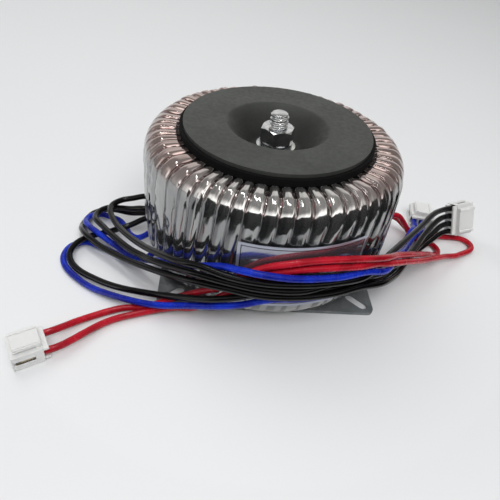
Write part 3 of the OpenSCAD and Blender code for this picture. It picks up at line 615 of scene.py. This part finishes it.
# Galvanised sheet steel: dull grey with a faint spangle
def galvanisedSheet():
    made, tree, shader = newMaterial("galvanisedSheet")
    spangle = put(tree, "TexVoronoi", {"Vector": place(tree), "Scale": 1 / (5 * mm)}).outputs["Color"]
    grey = put(tree, "SeparateXYZ", {"Vector": spangle}).outputs["X"]
    cloud = maths(tree, "MULTIPLY", grain(tree, 8 * mm, 4), 0.75)
    mix = maths(tree, "ADD", maths(tree, "MULTIPLY", grey, 0.25), cloud)
    wire(tree, shader, "Base Color", blendColour(tree, band(tree, mix, 0.25, 0.75), "#6c7172", "#878b8c"))
    shader.inputs["Metallic"].default_value = 0.3
    wire(tree, shader, "Roughness", band(tree, mix, 0.3, 0.7, 0.36, 0.52))
    bump(tree, shader, grain(tree, 0.7 * mm, 4), 0.03 * mm, 0.6)
    return made


# Neoprene sheet: black, dead matt, slightly grainy
def neoprene():
    made, tree, shader = newMaterial("neopreneSheet")
    wire(tree, shader, "Base Color", blendColour(tree, grain(tree, 3 * mm, 4), "#070707", "#121212"))
    shader.inputs["Roughness"].default_value = 0.8
    shader.inputs["Specular IOR Level"].default_value = 0.15
    bump(tree, shader, grain(tree, 0.6 * mm, 4), 0.08 * mm, 0.8)
    return made


labelSet = {"middle": -80.5, "length": 52.0, "top": 44.0, "height": 30.0, "radius": 57.3,
            "frame": 1.3, "line": 0.35}


# Silvered polyester label stock under a gloss laminate: bare, inside one thin printed frame line
def silverLabel(c):
    made, tree, shader = newMaterial("silverLabelStock")
    angle, _, height = polar(tree)
    turned = maths(tree, "ADD", angle, -math.radians(c["middle"]))
    sideways = maths(tree, "MULTIPLY", turned, c["radius"] * mm)
    fromSide = maths(tree, "SUBTRACT", c["length"] / 2 * mm, maths(tree, "ABSOLUTE", sideways))
    middle = (c["top"] - c["height"] / 2) * mm
    fromTop = maths(tree, "SUBTRACT", c["height"] / 2 * mm,
                    maths(tree, "ABSOLUTE", maths(tree, "SUBTRACT", height, middle)))
    inset = maths(tree, "MINIMUM", fromSide, fromTop)
    away = maths(tree, "ABSOLUTE", maths(tree, "SUBTRACT", inset, c["frame"] * mm))
    line = band(tree, away, c["line"] * 0.35 * mm, c["line"] * 0.75 * mm, 1, 0)
    rim = band(tree, inset, c["frame"] * 0.9 * mm, c["frame"] * mm, 1, 0)
    body = blendColour(tree, grain(tree, 12 * mm, 2), "#9698a3", "#adb0bb")
    face = blendColour(tree, rim, body, "#a4a8b6")
    wire(tree, shader, "Base Color", blendColour(tree, line, face, "#23242c"))
    wire(tree, shader, "Metallic", maths(tree, "SUBTRACT", 0.85, maths(tree, "MULTIPLY", rim, 0.35)))
    wire(tree, shader, "Roughness", band(tree, grain(tree, 7 * mm, 3), 0.3, 0.7, 0.1, 0.18))
    shader.inputs["Coat Weight"].default_value = 0.5
    shader.inputs["Coat Roughness"].default_value = 0.05
    bump(tree, shader, grain(tree, 9 * mm, 2), 0.25 * mm, 0.6)
    return made


dress("top_plate", powderCoat())
dress("base_plate", galvanisedSheet())
rubber = neoprene()
dress("top_gasket", rubber)
dress("bottom_gasket", rubber)
dress("label", silverLabel(labelSet))


# Grain-oriented silicon steel strip, wound edge to edge: fine bright rings on the faces
def siliconSteel():
    made, tree, shader = newMaterial("siliconSteelStrip")
    radius = polar(tree)[1]
    strip = maths(tree, "FRACT", maths(tree, "DIVIDE", radius, 0.3 * mm))
    wire(tree, shader, "Base Color", blendColour(tree, band(tree, strip, 0.1, 0.3), "#4b4c4f", "#8c8e92"))
    shader.inputs["Metallic"].default_value = 1
    shader.inputs["Roughness"].default_value = 0.38
    bump(tree, shader, strip, 0.04 * mm, 0.6)
    return made


# Crepe paper tape: cream and matt, with cross ripples
def crepePaper():
    made, tree, shader = newMaterial("crepePaperTape")
    angle = polar(tree)[0]
    ripple = maths(tree, "SINE", maths(tree, "MULTIPLY", angle, 260))
    wire(tree, shader, "Base Color", blendColour(tree, grain(tree, 5 * mm, 4), "#d8cdae", "#efe7cf"))
    shader.inputs["Roughness"].default_value = 0.85
    bump(tree, shader, ripple, 0.15 * mm, 0.7)
    return made


# Enamelled copper wire laid side by side: each turn a rounded ridge, with a painted highlight along its
# crest and painted shade in the groove between turns
def enamelledCopper(name, dark, light, turns):
    made, tree, shader = newMaterial(name)
    angle = polar(tree)[0]
    # painted highlight and shade: each turn lighter at its crest and darker between turns
    turn = maths(tree, "ABSOLUTE", maths(tree, "SINE", maths(tree, "MULTIPLY", angle, turns / 2)))
    wire(tree, shader, "Base Color", blendColour(tree, turn, dark, light))
    shader.inputs["Metallic"].default_value = 0.9
    shader.inputs["Roughness"].default_value = 0.28
    shader.inputs["Coat Weight"].default_value = 0.6
    bump(tree, shader, turn, 0.4 * mm, 0.8)
    return made


# Amber polyester between the windings: thin, glossy and see-through
def amberFilm():
    made, tree, shader = newMaterial("amberPolyesterFilm")
    angle = polar(tree)[0]
    lap = maths(tree, "FRACT", maths(tree, "MULTIPLY", angle, 9))
    wire(tree, shader, "Base Color", blendColour(tree, band(tree, lap, 0.0, 0.15), "#b89a3a", "#dcc873"))
    shader.inputs["Roughness"].default_value = 0.18
    shader.inputs["IOR"].default_value = 1.64
    shader.inputs["Transmission Weight"].default_value = 0.4
    bump(tree, shader, lap, 0.1 * mm, 0.5)
    return made


dress("core", siliconSteel())
dress("core_insulation", crepePaper())
dress("primary_winding", enamelledCopper("primaryCopperWire", "#6e2c14", "#b86236", 420))
dress("secondary_winding", enamelledCopper("secondaryCopperWire", "#7a3318", "#c87444", 260))
dress("auxiliary_winding", enamelledCopper("auxiliaryCopperWire", "#7c3a22", "#c98058", 620))
amber = amberFilm()
dress("primary_film", amber)
dress("secondary_film", amber)


# Natural nylon 66, moulded: milky, slightly see-through, with a soft gloss
def milkyNylon():
    made, tree, shader = newMaterial("mouldedNylon")
    wire(tree, shader, "Base Color", blendColour(tree, grain(tree, 6 * mm, 3), "#f0f1ef", "#fafaf8"))
    wire(tree, shader, "Roughness", band(tree, grain(tree, 1.5 * mm, 3), 0.3, 0.7, 0.3, 0.42))
    shader.inputs["IOR"].default_value = 1.53
    shader.inputs["Transmission Weight"].default_value = 0.25
    shader.inputs["Subsurface Weight"].default_value = 0.35
    shader.inputs["Subsurface Radius"].default_value = (0.002, 0.002, 0.002)
    bump(tree, shader, grain(tree, 0.8 * mm, 3), 0.03 * mm, 0.5)
    return made


# Tinned phosphor bronze, stamped: pale warm metal
def tinnedBronze():
    made, tree, shader = newMaterial("tinnedBronze")
    wire(tree, shader, "Base Color", blendColour(tree, grain(tree, 1 * mm, 3), "#b8a882", "#d8d2c4"))
    shader.inputs["Metallic"].default_value = 1
    wire(tree, shader, "Roughness", band(tree, grain(tree, 0.6 * mm, 3), 0.3, 0.7, 0.22, 0.4))
    return made


nylon = milkyNylon()
tinned = tinnedBronze()


def softHousing(name, node, material):
    # the CAD housing with its edges rounded as a mould leaves them
    bm = bmesh.new()
    bm.from_mesh(nodes[node].data)
    bmesh.ops.remove_doubles(bm, verts=bm.verts, dist=0.01 * mm)
    bmesh.ops.dissolve_limit(bm, angle_limit=math.radians(1), verts=bm.verts, edges=bm.edges)
    sharp = [e for e in bm.edges if len(e.link_faces) == 2 and e.calc_face_angle() > math.radians(40)]
    bmesh.ops.bevel(bm, geom=sharp, offset=0.22 * mm, segments=2, profile=0.5, affect="EDGES",
                    clamp_overlap=True, material=-1)
    piece = keep(name, bm, material, smooth=False)
    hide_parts(node)


for tint in ("red", "black", "blue"):
    softHousing(tint + "Housing", tint + "_housing", nylon)
    dress(tint + "_terminals", tinned)
print("housings done")


stageSet = {"floor": "#e9eaeb", "mottle": "#e4e5e6", "half": 4.0, "below": 0.0001}


def makeFloor(c):
    bm = bmesh.new()
    bmesh.ops.create_grid(bm, x_segments=2, y_segments=2, size=c["half"])
    bmesh.ops.translate(bm, verts=bm.verts, vec=(0, 0, -c["below"]))
    made, tree, shader = newMaterial("whiteTableTop")
    wire(tree, shader, "Base Color", blendColour(tree, grain(tree, 0.35, 2), c["floor"], c["mottle"]))
    shader.inputs["Roughness"].default_value = 0.5
    mesh = bpy.data.meshes.new("floor")
    bm.to_mesh(mesh)
    bm.free()
    floor = bpy.data.objects.new("floor", mesh)
    bpy.context.scene.collection.objects.link(floor)
    mesh.materials.append(made)


# place and size in metres, power in watts, and whether metal and film mirror the lamp
lampSet = {
    "ceilingLight": {"place": (0.08, -0.55, 0.85), "size": (0.7, 0.45), "power": 5.6, "mirrored": False},
    "backLight": {"place": (-0.5, 0.7, 1.0), "size": (0.8, 0.8), "power": 4.4, "mirrored": False},
    "tubeLight": {"place": (-0.08, -0.05, 0.8), "size": (0.6, 0.035), "power": 1.2, "mirrored": True},
}
lampAim = (0, 0, 0.03)


def makeLamp(name, c):
    data = bpy.data.lights.new(name, "AREA")
    data.shape, data.energy = "RECTANGLE", c["power"]
    data.size, data.size_y = c["size"]
    lamp = bpy.data.objects.new(name, data)
    bpy.context.scene.collection.objects.link(lamp)
    lamp.location = c["place"]
    lamp.visible_glossy = c["mirrored"]
    lamp.rotation_euler = (Vector(lampAim) - Vector(c["place"])).to_track_quat("-Z", "Y").to_euler()


darkFrontSet = {"profile": [(0.122, 0.001), (0.18, 0.012), (0.215, 0.12)], "from": -145, "sweep": 150,
                "steps": 50, "tint": "#0a0a0b"}


def makeDarkFront(c):
    # a dark low rim round the front and right, which only the mirror-like film and metal show
    bm = bmesh.new()
    line = [bm.verts.new((r, 0, z)) for r, z in c["profile"]]
    edges = [bm.edges.new(pair) for pair in zip(line, line[1:])]
    bmesh.ops.rotate(bm, verts=bm.verts, matrix=Matrix.Rotation(math.radians(c["from"]), 3, "Z"))
    bmesh.ops.spin(bm, geom=line + edges, cent=(0, 0, 0), axis=(0, 0, 1), angle=math.radians(c["sweep"]),
                   steps=c["steps"])
    made, tree, shader = newMaterial("darkCard")
    shader.inputs["Base Color"].default_value = colour(c["tint"])
    shader.inputs["Roughness"].default_value = 0.9
    shader.inputs["Specular IOR Level"].default_value = 0
    mesh = bpy.data.meshes.new("darkFront")
    bm.to_mesh(mesh)
    bm.free()
    card = bpy.data.objects.new("darkFront", mesh)
    bpy.context.scene.collection.objects.link(card)
    mesh.materials.append(made)
    card.visible_camera = card.visible_diffuse = card.visible_shadow = card.visible_transmission = False


worldSet = {"plain": "#f1f2f3", "mirrored": "#f4f3f1", "light": 0.32, "shown": 0.85, "front": 2.4,
            "behind": 0.33, "elsewhere": 0.95}


def makeWorld(c):
    world = bpy.data.worlds.new("room")
    bpy.context.scene.world = world
    world.use_nodes = True
    tree = world.node_tree
    tree.nodes.clear()
    way = put(tree, "SeparateXYZ", {"Vector": put(tree, "TexCoord").outputs["Generated"]})
    # mirrored: bright just over the horizon in front, mid grey overhead, darker behind
    front = band(tree, way.outputs["Y"], -0.75, 0.2, 1, 0)
    low = band(tree, way.outputs["Z"], 0.42, 0.72, 1, 0)
    lit = maths(tree, "MULTIPLY", front, low)
    behind = band(tree, way.outputs["Y"], 0.55, 0.8, c["behind"], c["elsewhere"])
    level = maths(tree, "ADD", maths(tree, "MULTIPLY", lit, c["front"]), behind)
    paths = put(tree, "LightPath")
    plain = put(tree, "Background", {"Color": colour(c["plain"]), "Strength": c["light"]})
    shown = put(tree, "Background", {"Color": colour(c["plain"]), "Strength": c["shown"]})
    mirrored = put(tree, "Background", {"Color": colour(c["mirrored"]), "Strength": level})
    first = put(tree, "MixShader", {0: paths.outputs["Is Glossy Ray"], 1: plain.outputs[0],
                                    2: mirrored.outputs[0]})
    second = put(tree, "MixShader", {0: paths.outputs["Is Camera Ray"], 1: first.outputs[0],
                                     2: shown.outputs[0]})
    put(tree, "OutputWorld", {"Surface": second.outputs[0]})


makeFloor(stageSet)
makeDarkFront(darkFrontSet)
makeWorld(worldSet)
for name, c in lampSet.items():
    makeLamp(name, c)
bpy.context.scene.view_settings.view_transform = "Standard"
print("stage set")
